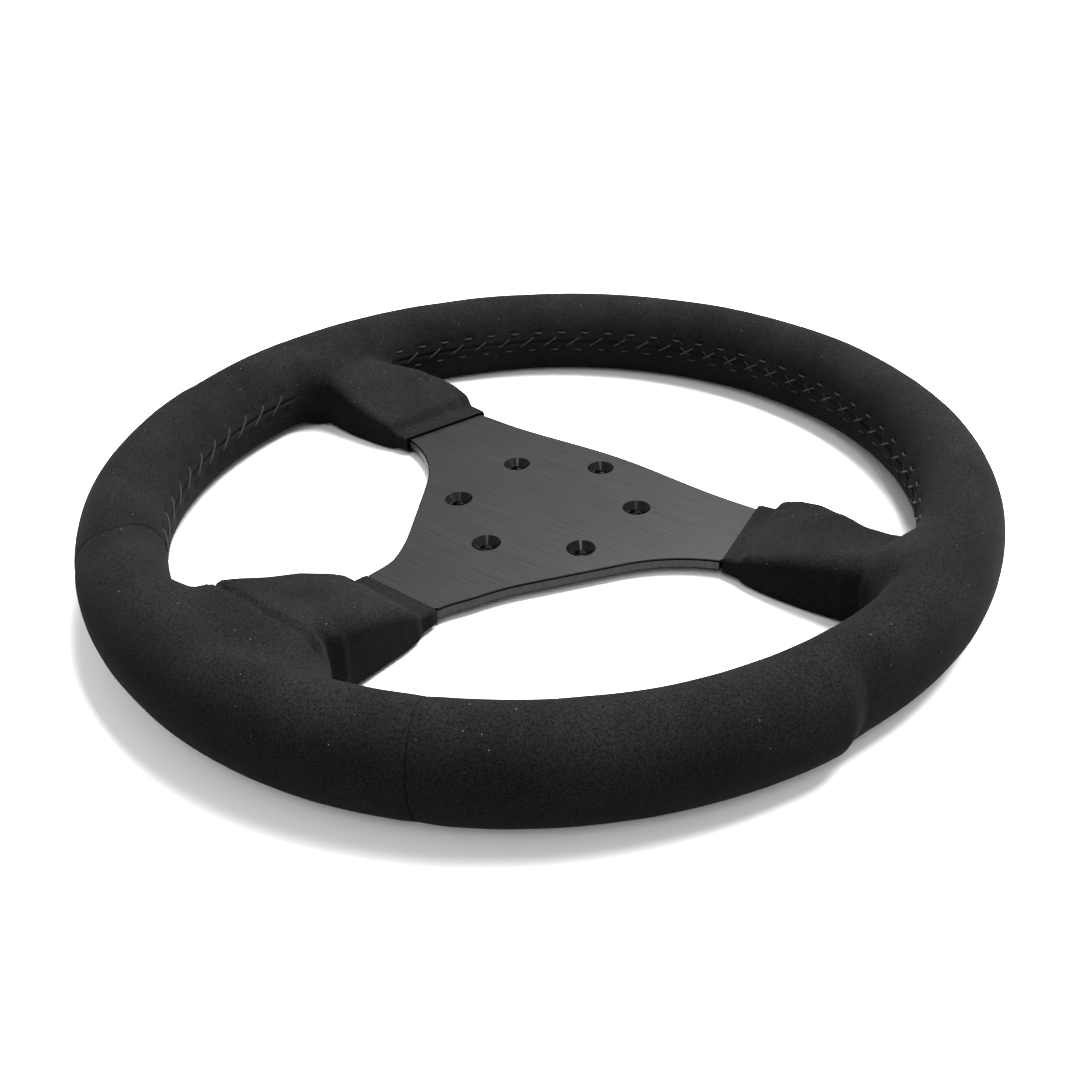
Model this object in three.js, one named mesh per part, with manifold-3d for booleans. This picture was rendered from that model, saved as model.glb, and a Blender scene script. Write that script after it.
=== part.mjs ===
// Racing steering wheel: brushed aluminium spoke plate, steel rim core, foam grip and suede cover.
// Millimetres. +Z points to the driver, +Y to twelve o'clock, and the origin is the centre of the
// bolt circle on the rear face of the spoke plate.

import * as THREE from 'three';
import { mergeVertices } from 'three/addons/utils/BufferGeometryUtils.js';
import Module from 'manifold-3d';

const wasm = await Module();
wasm.setup();

// Driving dimensions
const WHEEL_DIAMETER = 330;
const GRIP_WIDTH = 28;
const GRIP_HEIGHT = 37;
const GRIP_PLANE = 15.5; // height of the middle of the grip above the plate's rear face
const SUEDE = 1;
const GAP = 0.3;

const DENT_ANGLE = -15.7; // the middle of each thumb dent, from three or nine o'clock
const DENT_DEPTH = 2.2;
const DENT_LONG_RAMP = 15;
const DENT_SHORT_RAMP = 6;

const PLATE_THICKNESS = 4;
const PLATE_EDGE_RADIUS = 0.6;
const BOLT_CIRCLE = 70;
const BOLT_COUNT = 6;
const BOLT_BORE = 5.6;
const COUNTERSINK = 10.8;

const TUBE_DIAMETER = 14;
const TUBE_WALL = 1.5;
const VENT_HOLE = 4;
const TAB_THICKNESS = 2.5;
const TAB_WIDTH = 20;
const RIVET_SHANK = 5;
const RIVET_HEAD = 8.4;
const RIVET_SPACING = 11;

const UPPER_SPOKE_RISE = 25; // the two upper spokes run level, this far above the centre
const SEAM_ANGLE = 27.5; // the bottom panel ends this far to each side of six o'clock
const SEAM_GAP = 0.4;
const SLIT = 0.8;
const THREAD = 0.9;
const STITCH_PITCH = 11.3;
const STITCH_HEIGHT = 8;

const RING_STEPS = 48;
const GRIP_SIDES = 12;
const TUBE_SIDES = 8;
const RIM_RADIUS = (WHEEL_DIAMETER - GRIP_WIDTH) / 2;
const TAB_BASE = PLATE_THICKNESS + GAP;

// Materials
const anodised = new THREE.MeshStandardMaterial({ color: 0x2b2b2d, roughness: 0.42, metalness: 0.9 });
const steel = new THREE.MeshStandardMaterial({ color: 0x8b8d90, roughness: 0.5, metalness: 0.9 });
const rivetMetal = new THREE.MeshStandardMaterial({ color: 0xb4b6b8, roughness: 0.4, metalness: 0.9 });
const foamMaterial = new THREE.MeshStandardMaterial({ color: 0x1a1a1a, roughness: 0.9, metalness: 0 });
const suede = new THREE.MeshStandardMaterial({ color: 0x101010, roughness: 1, metalness: 0 });
const threadMaterial = new THREE.MeshStandardMaterial({ color: 0x1c1c1c, roughness: 0.8, metalness: 0 });

// Solids from geometries, and back
function solid(geometry) {
  const bare = geometry.clone();
  bare.deleteAttribute('normal');
  bare.deleteAttribute('uv');
  const merged = mergeVertices(bare, 1e-4);
  const vertProperties = new Float32Array(merged.attributes.position.array);
  const triVerts = new Uint32Array(merged.index.array);
  return new wasm.Manifold(new wasm.Mesh({ numProp: 3, vertProperties, triVerts }));
}

function geometryOf(manifold) {
  const { vertProperties, triVerts } = manifold.getMesh();
  const geometry = new THREE.BufferGeometry();
  geometry.setAttribute('position', new THREE.BufferAttribute(vertProperties, 3));
  geometry.setIndex(new THREE.BufferAttribute(triVerts, 1));
  geometry.computeVertexNormals();
  return geometry;
}

function subtractAll(body, cutters) {
  return cutters.reduce((left, cutter) => left.subtract(cutter), body);
}

// A closed profile turned once round +Z
function lathed(profile) {
  const geometry = new THREE.LatheGeometry(profile, RING_STEPS);
  geometry.rotateX(Math.PI / 2);
  return geometry;
}

// Thumb dents on the outer side of the grip: a long ramp from the spoke, and a short one back out
function dentDepth(x, y) {
  const angle = THREE.MathUtils.radToDeg(Math.atan2(y, Math.abs(x)));
  const ramp = angle > DENT_ANGLE ? DENT_LONG_RAMP : DENT_SHORT_RAMP;
  const closeness = Math.max(0, 1 - Math.abs(angle - DENT_ANGLE) / ramp);
  return DENT_DEPTH * closeness;
}

function dented(geometry) {
  const places = geometry.attributes.position;
  for (let i = 0; i < places.count; i += 1) {
    const x = places.getX(i);
    const y = places.getY(i);
    const radius = Math.hypot(x, y);
    const outwards = Math.max(0, (2 * (radius - RIM_RADIUS)) / GRIP_WIDTH);
    const scale = 1 - (dentDepth(x, y) * outwards) / radius;
    places.setXY(i, x * scale, y * scale);
  }
  return geometry;
}

// A closed ring about +Z: an elliptical section swept once round
function ringGeometry(halfWidth, halfHeight, sides) {
  const profile = [];
  for (let i = 0; i <= sides; i += 1) {
    const angle = (i / sides) * 2 * Math.PI;
    const radius = RIM_RADIUS + halfWidth * Math.cos(angle);
    profile.push(new THREE.Vector2(radius, GRIP_PLANE + halfHeight * Math.sin(angle)));
  }
  profile[sides].copy(profile[0]);
  return lathed(profile);
}

const gripSolid = (inset) =>
  solid(dented(ringGeometry(GRIP_WIDTH / 2 - inset, GRIP_HEIGHT / 2 - inset, GRIP_SIDES)));

// A flat shape extruded upward from a height
function slab(shape, bottom, top) {
  const options = { depth: top - bottom, bevelEnabled: false };
  const geometry = new THREE.ExtrudeGeometry(shape, options);
  geometry.translate(0, 0, bottom);
  return solid(geometry);
}

// A sector of a disc that is much larger than the wheel, centred on six o'clock
function sector(halfAngle) {
  const shape = new THREE.Shape();
  const reach = WHEEL_DIAMETER;
  const middle = -Math.PI / 2;
  const half = THREE.MathUtils.degToRad(halfAngle);
  shape.moveTo(0, 0);
  shape.absarc(0, 0, reach, middle - half, middle + half, false);
  shape.lineTo(0, 0);
  return slab(shape, -reach / 4, reach / 4);
}

// Spokes: u runs outward along the spoke, v across it, and z is the wheel's own. In a pair, the first
// value is for the side towards +v and the second for the side towards -v.
const rightStations = [
  { along: 0, halves: [20.4, 20.2], bottom: -1.3, tops: [5.3, 5.3], corners: [1.5, 1.5], foot: 1.5 },
  { along: 7.5, halves: [20.4, 20.3], bottom: -1.3, tops: [6.4, 6.4], corners: [1.5, 1.5], foot: 1.5 },
  { along: 9.5, halves: [20.5, 21], bottom: -2.4, tops: [9.8, 9.4], corners: [3, 3], foot: 2 },
  { along: 16, halves: [21, 21.6], bottom: -2.8, tops: [12.6, 11.6], corners: [3, 4], foot: 2 },
  { along: 24, halves: [20.2, 21.8], bottom: -2.9, tops: [14.6, 14.4], corners: [4, 4.5], foot: 2.5 },
  { along: 34, halves: [17, 21.5], bottom: -3, tops: [17, 17.8], corners: [6.5, 5.5], foot: 3 },
  { along: 44, halves: [13.2, 21.2], bottom: -2.9, tops: [18.8, 21], corners: [10, 7], foot: 4 },
  { along: 54, halves: [12.5, 21.3], bottom: -2.5, tops: [20.4, 23.6], corners: [12, 8.5], foot: 5 },
  { along: 66, halves: [12.5, 22], bottom: -1, tops: [24, 28], corners: [12, 11], foot: 6 },
  { along: 74, halves: [12.5, 22.5], bottom: 1, tops: [28, 30.5], corners: [12, 12], foot: 6 },
];
const leftStations = [
  { along: 0, halves: [20.2, 20.4], bottom: -1.3, tops: [5.3, 5.3], corners: [1.5, 1.5], foot: 1.5 },
  { along: 7.5, halves: [20.3, 20.4], bottom: -1.3, tops: [6.4, 6.4], corners: [1.5, 1.5], foot: 1.5 },
  { along: 9.5, halves: [21, 20.8], bottom: -2.4, tops: [9.2, 10.4], corners: [2.8, 2.6], foot: 2 },
  { along: 16, halves: [21.8, 21], bottom: -2.8, tops: [10.8, 13.4], corners: [3, 3], foot: 2 },
  { along: 24, halves: [22, 21], bottom: -2.9, tops: [12.4, 15.2], corners: [3.2, 4], foot: 2.5 },
  { along: 34, halves: [22, 20.2], bottom: -3, tops: [15.1, 17.2], corners: [3.8, 5.5], foot: 3 },
  { along: 44, halves: [21.8, 17], bottom: -2.9, tops: [19, 19], corners: [5, 8], foot: 4 },
  { along: 54, halves: [21.6, 13], bottom: -2.5, tops: [23.2, 21], corners: [7.5, 11], foot: 5 },
  { along: 66, halves: [22, 12.5], bottom: -1, tops: [28, 25], corners: [10, 12], foot: 6 },
  { along: 74, halves: [23, 12.5], bottom: 1, tops: [30.8, 28.5], corners: [12, 12], foot: 6 },
];
const bottomStations = [
  { along: 0, halves: [15, 20], bottom: -1.3, tops: [5.3, 5.3], corners: [1.5, 1.5], foot: 1.5 },
  { along: 7.5, halves: [15.2, 20], bottom: -1.3, tops: [6.4, 6.4], corners: [1.5, 1.5], foot: 1.5 },
  { along: 9.5, halves: [16.4, 19.9], bottom: -2.4, tops: [9.6, 10.4], corners: [3, 2.6], foot: 2.5 },
  { along: 16, halves: [17, 19.8], bottom: -2.8, tops: [14.8, 15.6], corners: [4, 3.5], foot: 3 },
  { along: 26, halves: [17.1, 19.8], bottom: -2.9, tops: [19.6, 22], corners: [4.5, 4.5], foot: 4 },
  { along: 38, halves: [17.3, 20.6], bottom: -3, tops: [23.8, 27], corners: [6, 6], foot: 5 },
  { along: 50, halves: [18, 22], bottom: -2.6, tops: [26.8, 28.6], corners: [7, 7], foot: 6 },
  { along: 62, halves: [19, 23], bottom: -1, tops: [29.2, 30], corners: [8, 8], foot: 6 },
  { along: 74, halves: [20, 24], bottom: 1, tops: [31, 31], corners: [9, 9], foot: 6 },
];
const FIRST_FOAM_STATION = 2;
const spokes = [
  { name: 'right', turn: 0, rise: UPPER_SPOKE_RISE, lip: 72.2, slant: -0.2, stations: rightStations },
  { name: 'left', turn: Math.PI, rise: UPPER_SPOKE_RISE, lip: 78.2, slant: 0.233, stations: leftStations },
  { name: 'bottom', turn: -Math.PI / 2, rise: 0, lip: 76, slant: 0, stations: bottomStations },
];

// Where the middle of the core tube lies along a spoke
const tubeAlong = (spoke) => Math.sqrt(RIM_RADIUS ** 2 - spoke.rise ** 2);

// A solid drawn in u, v and z, moved to where its spoke is
function spokeSolid(spoke, geometry) {
  const matrix = new THREE.Matrix4().makeRotationZ(spoke.turn);
  matrix.setPosition(0, spoke.rise, 0);
  return solid(geometry.applyMatrix4(matrix));
}

// A rectangle with two upper corners and two feet rounded, seen along the spoke
function sectionPoints(station, inset) {
  const rounding = (radius) => Math.max(radius - inset, 0.4);
  const [left, right] = station.corners.map(rounding);
  const foot = rounding(station.foot);
  const [reachLeft, reachRight] = station.halves.map((half) => half - inset);
  const [topLeft, topRight] = station.tops.map((top) => top - inset);
  const low = station.bottom + inset + foot;
  const arcs = [
    { v: reachLeft - left, z: topLeft - left, radius: left },
    { v: right - reachRight, z: topRight - right, radius: right },
    { v: foot - reachRight, z: low, radius: foot },
    { v: reachLeft - foot, z: low, radius: foot },
  ];
  const arcSteps = 3;
  const points = [];
  arcs.forEach(({ v, z, radius }, quarter) => {
    for (let i = 0; i <= arcSteps; i += 1) {
      const angle = (quarter + i / arcSteps) * (Math.PI / 2);
      points.push([v + radius * Math.cos(angle), z + radius * Math.sin(angle)]);
    }
  });
  return points;
}

// A boot: sections joined along the spoke, with flat ends. The lip's slant fades out towards the rim.
function bootSolid(spoke, inset, { first = 0, extend = 0 } = {}) {
  const length = spoke.stations.at(-1).along;
  const rows = spoke.stations.slice(first).map((station, index) => {
    const along = spoke.lip + station.along - (index === 0 ? extend : 0);
    const slant = spoke.slant * (1 - station.along / length);
    return sectionPoints(station, inset).map(([v, z]) => new THREE.Vector3(along + slant * v, v, z));
  });
  const count = rows[0].length;
  const faces = [];
  for (let row = 0; row + 1 < rows.length; row += 1) {
    for (let i = 0; i < count; i += 1) {
      const a = row * count + i;
      const b = row * count + ((i + 1) % count);
      faces.push(a, b, a + count);
      faces.push(b, b + count, a + count);
    }
  }
  const last = (rows.length - 1) * count;
  for (let i = 1; i + 1 < count; i += 1) {
    faces.push(0, i + 1, i);
    faces.push(last, last + i, last + i + 1);
  }
  const geometry = new THREE.BufferGeometry().setFromPoints(rows.flat());
  geometry.setIndex(faces);
  return spokeSolid(spoke, geometry);
}

// A solid turned about +Z through a point, from [radius, height] pairs that start and end on the axis
function turned(pairs, x, y, sides) {
  const geometry = new THREE.LatheGeometry(pairs.map(([r, z]) => new THREE.Vector2(r, z)), sides);
  geometry.rotateX(Math.PI / 2);
  geometry.translate(x, y, 0);
  return solid(geometry);
}

// Fasteners: rivets stand across each spoke, inside its boot
const RIVET_FROM_LIP = 24;
const RIVET_HEAD_HEIGHT = 1.6;
const FASTENER_SIDES = 12;
const tabTop = TAB_BASE + TAB_THICKNESS;

function rivetPlaces(spoke) {
  return [-1, 1].map((side) => {
    const place = new THREE.Vector2(spoke.lip + RIVET_FROM_LIP, (side * RIVET_SPACING) / 2);
    place.rotateAround(new THREE.Vector2(), spoke.turn);
    return { side, x: place.x, y: place.y + spoke.rise };
  });
}

function rivetSolid({ x, y }, grow) {
  const shank = RIVET_SHANK / 2 + grow;
  const head = RIVET_HEAD / 2 + grow;
  const low = -GAP;
  const high = tabTop + GAP;
  const tail = 1.1;
  const pairs = [
    [0, low - tail - grow],
    [head, low - tail - grow],
    [head, low + grow],
    [shank, low + grow],
    [shank, high - grow],
    [head, high - grow],
    [head * 0.8, high + RIVET_HEAD_HEIGHT + grow],
    [0, high + RIVET_HEAD_HEIGHT + grow],
  ];
  return turned(pairs, x, y, FASTENER_SIDES);
}

function drill({ x, y }, radius) {
  const reach = 20;
  return turned([[0, -reach], [radius, -reach], [radius, reach], [0, reach]], x, y, FASTENER_SIDES);
}

// Spoke plate. Its outline steps in where a boot's lip closes round it.
const ARM_REACH = 30; // how far the arms run past the lips, inside the boots
const ARM_HALF = 16;
const FOOT_HALF = 14.5;
const FOOT_LEAN = 2.8; // the bottom arm leans this far towards nine o'clock
const TIP_CHAMFER = 6;

// One half of the outline, from twelve o'clock to the tip of the bottom arm
function plateHalf(lip, step, control) {
  const shape = new THREE.Shape();
  const high = UPPER_SPOKE_RISE + ARM_HALF;
  const low = UPPER_SPOKE_RISE - ARM_HALF;
  const tip = lip + ARM_REACH;
  const foot = -(spokes[2].lip + ARM_REACH);
  shape.moveTo(0, 47);
  shape.bezierCurveTo(22, 47, 42, 42.6, 64, 43.8);
  shape.lineTo(75, 43.9);
  shape.lineTo(82, high);
  shape.lineTo(tip - TIP_CHAMFER, high);
  shape.lineTo(tip, high - TIP_CHAMFER);
  shape.lineTo(tip, low + TIP_CHAMFER);
  shape.lineTo(tip - TIP_CHAMFER, low);
  shape.lineTo(91.5, low);
  shape.lineTo(84.5, 6.6);
  step.forEach(([x, y]) => shape.lineTo(x, y));
  shape.quadraticCurveTo(...control, 50, -15.5);
  shape.lineTo(28.5, -46.5);
  shape.quadraticCurveTo(18.6, -61, 17.2, -74.3);
  shape.lineTo(15.8, -75.8);
  shape.lineTo(FOOT_HALF, -84);
  shape.lineTo(FOOT_HALF, foot + TIP_CHAMFER);
  shape.lineTo(FOOT_HALF - TIP_CHAMFER, foot);
  return shape.getPoints(12);
}

function plateShape() {
  const right = plateHalf(spokes[0].lip, [[76, 6.3], [75.2, 4.3]], [60.6, -1.65]);
  const left = plateHalf(spokes[1].lip, [[80.5, 6.2]], [62.5, 0.8]);
  const mirrored = left.slice(1).reverse().map((point) => new THREE.Vector2(-point.x, point.y));
  const lean = (y) => -FOOT_LEAN * THREE.MathUtils.smoothstep(-y, 61, 76);
  return new THREE.Shape([...right, ...mirrored].map(({ x, y }) => new THREE.Vector2(x + lean(y), y)));
}

function boltHole(index) {
  const angle = Math.PI / 6 + (index * 2 * Math.PI) / BOLT_COUNT;
  const bore = BOLT_BORE / 2;
  const mouth = COUNTERSINK / 2;
  const top = PLATE_THICKNESS;
  const pairs = [
    [0, -1],
    [bore, -1],
    [bore, top - (mouth - bore)],
    [mouth, top],
    [mouth, top + 1],
    [0, top + 1],
  ];
  const radius = BOLT_CIRCLE / 2;
  return turned(pairs, radius * Math.cos(angle), radius * Math.sin(angle), 32);
}

function spokePlate() {
  const options = {
    depth: PLATE_THICKNESS - 2 * PLATE_EDGE_RADIUS,
    bevelThickness: PLATE_EDGE_RADIUS,
    bevelSize: PLATE_EDGE_RADIUS,
    bevelOffset: -PLATE_EDGE_RADIUS,
    bevelSegments: 2,
  };
  const geometry = new THREE.ExtrudeGeometry(plateShape(), options);
  geometry.translate(0, 0, PLATE_EDGE_RADIUS);
  const holes = Array.from({ length: BOLT_COUNT }, (_, index) => boltHole(index));
  const rivetHoles = spokes.flatMap(rivetPlaces).map((place) => drill(place, RIVET_SHANK / 2 + GAP));
  return subtractAll(solid(geometry), [...holes, ...rivetHoles]);
}

// The space that the plate takes in the foam
function platePocket() {
  const options = { depth: PLATE_THICKNESS, bevelThickness: GAP, bevelSize: GAP, bevelSegments: 1 };
  return solid(new THREE.ExtrudeGeometry(plateShape(), options));
}

// Core tube with a vent hole on its inner side, at twelve o'clock
const tubeSolid = (radius) => solid(ringGeometry(radius, radius, TUBE_SIDES));

function coreTube() {
  const outer = TUBE_DIAMETER / 2;
  const vent = new THREE.CylinderGeometry(VENT_HOLE / 2, VENT_HOLE / 2, outer, 12);
  vent.translate(0, RIM_RADIUS - outer, GRIP_PLANE);
  return subtractAll(tubeSolid(outer), [tubeSolid(outer - TUBE_WALL), solid(vent)]);
}

// A bent strap from the plate's arm up to the core tube
function tabSolid(spoke, grow) {
  const start = spoke.lip + 14 - grow;
  const bend = spoke.lip + 36;
  const end = tubeAlong(spoke) - 3;
  const rise = GRIP_PLANE - TAB_BASE - TAB_THICKNESS / 2;
  const shape = new THREE.Shape();
  shape.moveTo(start, TAB_BASE - grow);
  shape.lineTo(bend, TAB_BASE - grow);
  shape.lineTo(end, TAB_BASE + rise - grow);
  shape.lineTo(end, tabTop + rise + grow);
  shape.lineTo(bend, tabTop + grow);
  shape.lineTo(start, tabTop + grow);
  shape.closePath();
  const width = TAB_WIDTH + 2 * grow;
  const geometry = new THREE.ExtrudeGeometry(shape, { depth: width, bevelEnabled: false });
  geometry.translate(0, 0, -width / 2);
  geometry.rotateX(Math.PI / 2);
  return spokeSolid(spoke, geometry);
}

function spokeTab(spoke) {
  const holes = rivetPlaces(spoke).map((place) => drill(place, RIVET_SHANK / 2 + GAP));
  return subtractAll(tabSolid(spoke, 0), [tubeSolid(TUBE_DIAMETER / 2 + GAP), ...holes]);
}

// Foam: the grip and the three boots in one moulding round the metal parts
function foamCore() {
  const inset = SUEDE + GAP;
  const boots = spokes.map((spoke) => bootSolid(spoke, inset, { first: FIRST_FOAM_STATION }));
  const blank = boots.reduce((left, boot) => left.add(boot), gripSolid(inset));
  const tabs = spokes.map((spoke) => tabSolid(spoke, GAP));
  const rivets = spokes.flatMap(rivetPlaces).map((place) => rivetSolid(place, GAP));
  return subtractAll(blank, [platePocket(), tubeSolid(TUBE_DIAMETER / 2 + GAP), ...tabs, ...rivets]);
}

// Suede: the rim's two panels meet at cross seams, and their edges meet along the inner side
function laceSlit() {
  const inner = RIM_RADIUS - GRIP_WIDTH / 2 - 2;
  const outer = inner + 4;
  const low = GRIP_PLANE - SLIT / 2;
  const high = GRIP_PLANE + SLIT / 2;
  const corners = [[inner, low], [outer, low], [outer, high], [inner, high], [inner, low]];
  return solid(lathed(corners.map(([r, z]) => new THREE.Vector2(r, z))));
}

function rimCover() {
  const mouths = spokes.map((spoke) => bootSolid(spoke, SUEDE));
  return subtractAll(gripSolid(0), [gripSolid(SUEDE), laceSlit(), ...mouths]);
}

function bootCover(spoke) {
  const hollow = bootSolid(spoke, SUEDE, { extend: 2 });
  return subtractAll(bootSolid(spoke, 0), [hollow, gripSolid(-GAP)]);
}

// Lacing: a thread that zigzags over the slit, between two angles in degrees
function lacing(from, to) {
  const lift = 2 * GAP + THREAD / 2;
  const inner = RIM_RADIUS - GRIP_WIDTH / 2;
  const span = THREE.MathUtils.degToRad(to - from);
  const count = 2 * Math.round((span * inner) / STITCH_PITCH);
  const points = [];
  for (let i = 0; i <= count; i += 1) {
    const angle = THREE.MathUtils.degToRad(from) + (span * i) / count;
    const height = (i % 2 === 0 ? 0.5 : -0.5) * STITCH_HEIGHT;
    const bulge = Math.sqrt(1 - (height / (GRIP_HEIGHT / 2 + lift)) ** 2);
    const radius = RIM_RADIUS - (GRIP_WIDTH / 2 + lift) * bulge;
    points.push(new THREE.Vector3(radius * Math.cos(angle), radius * Math.sin(angle), GRIP_PLANE + height));
  }
  const section = new THREE.Shape().absarc(0, 0, THREAD / 2, 0, 2 * Math.PI);
  const path = new THREE.CatmullRomCurve3(points, false, 'centripetal');
  return new THREE.ExtrudeGeometry(section, { steps: count, extrudePath: path, curveSegments: 3 });
}

// Assembly
const group = new THREE.Group();

function addPart(name, geometry, material) {
  const mesh = new THREE.Mesh(geometry, material);
  mesh.name = name;
  group.add(mesh);
}

addPart('spoke_plate', geometryOf(spokePlate()), anodised);
addPart('rim_core_tube', geometryOf(coreTube()), steel);
addPart('foam_core', geometryOf(foamCore()), foamMaterial);

const cover = rimCover();
const seamHalfGap = THREE.MathUtils.radToDeg(SEAM_GAP / 2 / RIM_RADIUS);
addPart('rim_cover_upper', geometryOf(cover.subtract(sector(SEAM_ANGLE + seamHalfGap))), suede);
addPart('rim_cover_bottom', geometryOf(cover.intersect(sector(SEAM_ANGLE - seamHalfGap))), suede);

for (const spoke of spokes) {
  addPart(`spoke_tab_${spoke.name}`, geometryOf(spokeTab(spoke)), steel);
  addPart(`boot_cover_${spoke.name}`, geometryOf(bootCover(spoke)), suede);
  for (const place of rivetPlaces(spoke)) {
    const label = place.side < 0 ? 'a' : 'b';
    addPart(`rivet_${spoke.name}_${label}`, geometryOf(rivetSolid(place, 0)), rivetMetal);
  }
}

addPart('lacing_top', lacing(18, 162), threadMaterial);
addPart('lacing_left', lacing(184, 236), threadMaterial);
addPart('lacing_right', lacing(304, 356), threadMaterial);

export default group;
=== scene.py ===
"""Looks for a suede racing steering wheel that lies face up on a pale studio floor.

The suede is one surface that flows from the rim into the padded spoke boots, so its two panels are
meshed here from the rim's and the boots' shapes. Lengths are in millimetres until a mesh is made.
"""

import math

import bmesh
import bpy
import numpy as np
from mathutils import Matrix, Vector, noise


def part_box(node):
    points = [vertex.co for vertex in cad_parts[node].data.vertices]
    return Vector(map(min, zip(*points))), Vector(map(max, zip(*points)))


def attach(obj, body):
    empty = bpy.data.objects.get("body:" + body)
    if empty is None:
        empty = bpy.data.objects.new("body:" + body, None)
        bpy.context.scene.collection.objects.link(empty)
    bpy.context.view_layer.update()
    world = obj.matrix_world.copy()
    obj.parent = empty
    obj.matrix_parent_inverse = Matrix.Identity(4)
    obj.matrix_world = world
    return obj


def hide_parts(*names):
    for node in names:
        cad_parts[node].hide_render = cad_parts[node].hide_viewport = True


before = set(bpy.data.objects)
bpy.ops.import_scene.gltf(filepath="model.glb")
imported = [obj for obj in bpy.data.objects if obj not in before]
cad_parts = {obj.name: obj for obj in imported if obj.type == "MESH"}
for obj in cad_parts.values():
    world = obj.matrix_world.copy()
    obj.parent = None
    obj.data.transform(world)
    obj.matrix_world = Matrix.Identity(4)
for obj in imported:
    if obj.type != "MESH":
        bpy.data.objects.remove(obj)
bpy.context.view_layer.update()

MM = 0.001
FINE = 1

# ---------------------------------------------------------------- sizes, from the frame
rim_low, rim_high = (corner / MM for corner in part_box("rim_cover_upper"))
FLOOR = rim_low.z
GRIP_HALF_WIDTH = 14.0
GRIP_HALF_HEIGHT = (rim_high.z - rim_low.z) / 2
GRIP_PLANE = (rim_high.z + rim_low.z) / 2
RIM_RADIUS = rim_high.y - GRIP_HALF_WIDTH
SUEDE = 1.0

# ---------------------------------------------------------------- the shape under the suede
# How far the outer side of the grip stands from its ellipse, by degrees from three o'clock: full beside
# the spokes, with a thumb dent below each upper spoke that ramps in slowly and comes out fast.
OUTER_SWELL = [
    (-65, 0.1), (-28, 0.4), (-20.8, 0.5), (-18.6, -2.1), (-15.7, -2.4), (-8, -1.1), (0, -0.1), (10, 0.2),
    (28, 0.45), (45, 0.35), (65, 0.0), (112, 0.0), (140, 0.45), (170, 0.4), (180, -0.1), (188, -1.1),
    (195.7, -2.3), (198.3, -2.0), (200.5, 0.45), (215, 0.5), (245, 0.1), (295, 0.1),
]
swell_angles, swell_sizes = (np.array(column, float) for column in zip(*OUTER_SWELL))


def bell(x, width):
    return np.exp(-((x / width) ** 2))


def smooth(x):
    x = np.clip(x, 0, 1)
    return x * x * (3 - 2 * x)


def clock_angle(points):
    """Degrees from three o'clock, starting where OUTER_SWELL does."""
    angle = np.degrees(np.arctan2(points[:, 1], points[:, 0]))
    return np.where(angle < swell_angles[0], angle + 360, angle)


def rim_distance(points):
    """Signed distance to the grip's surface: an ellipse swept round, with the outer side's swell."""
    across = np.hypot(points[:, 0], points[:, 1]) - RIM_RADIUS
    up = points[:, 2] - GRIP_PLANE
    swell = np.interp(clock_angle(points), swell_angles, swell_sizes)
    half = GRIP_HALF_WIDTH + np.where(across > 0, swell, 0)
    scaled = np.hypot(across / half, up / GRIP_HALF_HEIGHT)
    slope = np.hypot(across / half**2, up / GRIP_HALF_HEIGHT**2)
    return scaled * (scaled - 1) / np.maximum(slope, 1e-6)


# Boots, along the spoke from the lip. A pair of rows is for the sides towards +v and -v across the spoke:
# how far each side stands out, how high its edge is, and the radius of that edge.
STEPS = [0, 7.2, 9.4, 16, 24, 34, 44, 54, 66, 74]
BOTTOM_STEPS = [0, 7.2, 9.4, 16, 26, 38, 45, 50, 62, 74]
RIGHT_STATIONS = {
    "halves": ([20.2, 20.2, 20.5, 21, 20.2, 17, 13.4, 12.6, 12.6, 12.6],
               [20.2, 20.3, 21.2, 21.8, 22, 21.8, 21.5, 21.4, 22, 22.5]),
    "tops": ([5.3, 6.3, 10.6, 12.9, 14.9, 17.2, 19, 20.6, 24.2, 28.2],
             [5.3, 6.3, 9.8, 12, 14.8, 18.2, 21.4, 23.9, 28.2, 30.7]),
    "corners": ([1.5, 2, 2.6, 3, 4, 6.5, 10, 12, 12.5, 12.5], [1.5, 2, 3, 3.6, 4.4, 5.5, 7, 8.5, 11, 12]),
    "bottom": [-1.3, -1.3, -2.2, -2.7, -2.9, -2.95, -2.9, -2.5, -1, 1],
    "foot": [1.4, 1.5, 1.8, 2, 2.2, 2.6, 3.5, 5, 6, 6],
}
LEFT_STATIONS = {
    "halves": ([20.2, 20.3, 21.2, 22, 22.2, 22.2, 22, 21.8, 22.2, 23],
               [20.2, 20.2, 20.8, 21, 21, 20.3, 17.2, 13.2, 12.6, 12.6]),
    "tops": ([5.3, 6.3, 9.6, 11.4, 13.4, 16.6, 21, 25.4, 29.4, 31.4],
             [5.3, 6.3, 11.2, 13.7, 15.5, 17.4, 19.2, 21.2, 25.2, 28.7]),
    "corners": ([1.5, 2, 2.6, 2.8, 3, 3.6, 5, 7.5, 10, 12], [1.5, 2, 2.6, 3, 4, 5.5, 8, 11, 12, 12.5]),
    "bottom": [-1.3, -1.3, -2.2, -2.7, -2.9, -2.95, -2.9, -2.5, -1, 1],
    "foot": [1.4, 1.5, 1.8, 2, 2.2, 2.6, 3.5, 5, 6, 6],
}
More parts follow.
